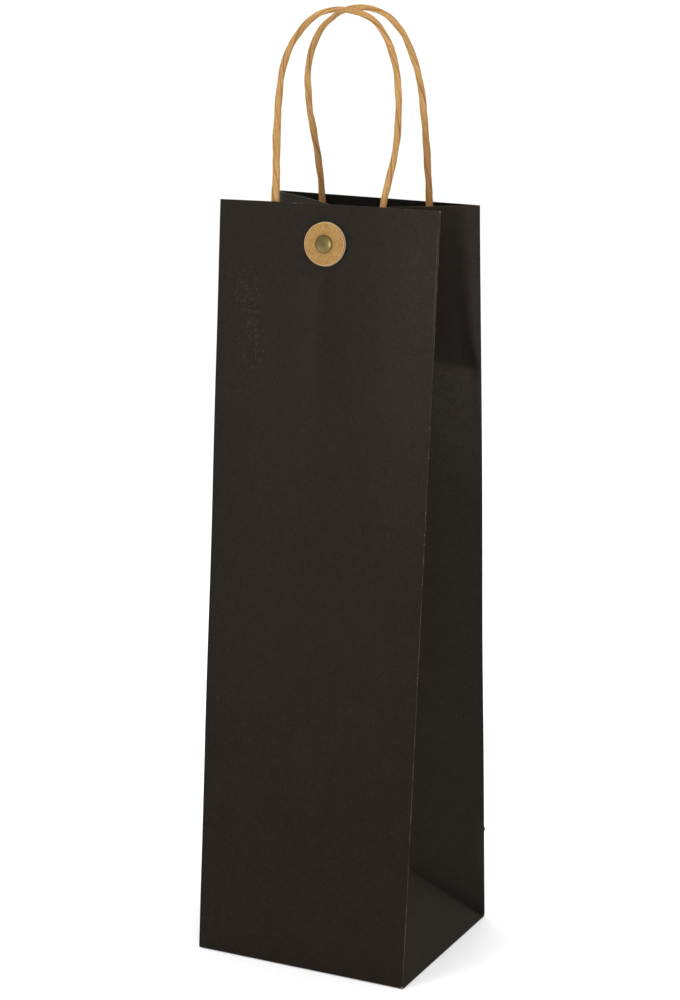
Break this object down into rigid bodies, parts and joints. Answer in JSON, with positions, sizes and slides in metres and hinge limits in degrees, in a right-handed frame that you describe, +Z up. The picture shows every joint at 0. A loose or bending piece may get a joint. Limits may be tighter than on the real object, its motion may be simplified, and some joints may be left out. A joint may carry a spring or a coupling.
{
  "type": "wine gift bag",
  "caption": "Tall folded-paper gift bag for one bottle, with V-folded side gussets, twisted-paper loop handles and a riveted card button on the front.",
  "frame": {"origin": "centre of the underside of the base, on the surface that the bag stands on", "axes": "+Z up towards the handles, +X to the right as seen from the front, the front panel with the button faces -Y"},
  "size_m": [0.1227, 0.112, 0.4977],
  "materials": {
    "black_paper": "matte uncoated kraft paper printed warm charcoal black",
    "grey_board": "matte grey chipboard",
    "kraft_sheet": "matte natural kraft paper",
    "kraft_cord": "twisted natural kraft paper cord",
    "kraft_card": "matte speckled kraft card",
    "aged_brass": "antique brass, satin"
  },
  "bodies": {
    "base": {"bottom_panel": "black_paper", "base_board": "grey_board", "gusset_left_lower_triangle": "black_paper", "gusset_left_front_half": "black_paper", "gusset_left_back_half": "black_paper", "gusset_right_lower_triangle": "black_paper", "gusset_right_front_half": "black_paper", "gusset_right_back_half": "black_paper"},
    "front_wall": {"front_panel": "black_paper", "front_patch_backing": "kraft_sheet", "front_patch_cover": "kraft_sheet", "front_cord_end_left": "kraft_cord", "front_cord_end_right": "kraft_cord", "rivet": "aged_brass", "rivet_washer": "aged_brass"},
    "back_wall": {"back_panel": "black_paper", "back_patch_backing": "kraft_sheet", "back_patch_cover": "kraft_sheet", "back_cord_end_left": "kraft_cord", "back_cord_end_right": "kraft_cord"},
    "front_loop": {"front_handle": "kraft_cord"},
    "back_loop": {"back_handle": "kraft_cord"},
    "button": {"button_disc_front": "kraft_card", "button_disc_rear": "kraft_card"}
  },
  "joints": [
    {"name": "mouth_open", "type": "hinge", "parent": "base", "child": "front_wall", "pos_m": [0, -0.056, 0], "axis": [1, 0, 0], "range_deg": [-0.6, 3.5], "stiffness_Nm_per_rad": 4, "deforming": ["gusset_left_front_half", "gusset_right_front_half"]},
    {"name": "back_wall_lean", "type": "hinge", "parent": "base", "child": "back_wall", "pos_m": [0, 0.056, 0], "axis": [-1, 0, 0], "range_deg": [-0.6, 3.5], "deforming": ["gusset_left_back_half", "gusset_right_back_half"]},
    {"name": "front_handle_swing", "type": "hinge", "parent": "front_wall", "child": "front_loop", "pos_m": [-0.00425, -0.02144, 0.40202], "axis": [0.9984, 0.0565, -0.004], "range_deg": [-2.5, 95], "stiffness_Nm_per_rad": 0.01},
    {"name": "back_handle_swing", "type": "hinge", "parent": "back_wall", "child": "back_loop", "pos_m": [0.00153, 0.02132, 0.40179], "axis": [-0.9965, 0.0837, 0.0072], "range_deg": [-2.5, 95], "stiffness_Nm_per_rad": 0.01},
    {"name": "button_spin", "type": "hinge", "parent": "front_wall", "child": "button", "pos_m": [-0.00374, -0.02592, 0.37906], "axis": [0.0515, -0.9947, 0.0886], "continuous": true}
  ],
  "couplings": [
    {"joint": "back_wall_lean", "follows": "mouth_open", "ratio": 1}
  ]
}
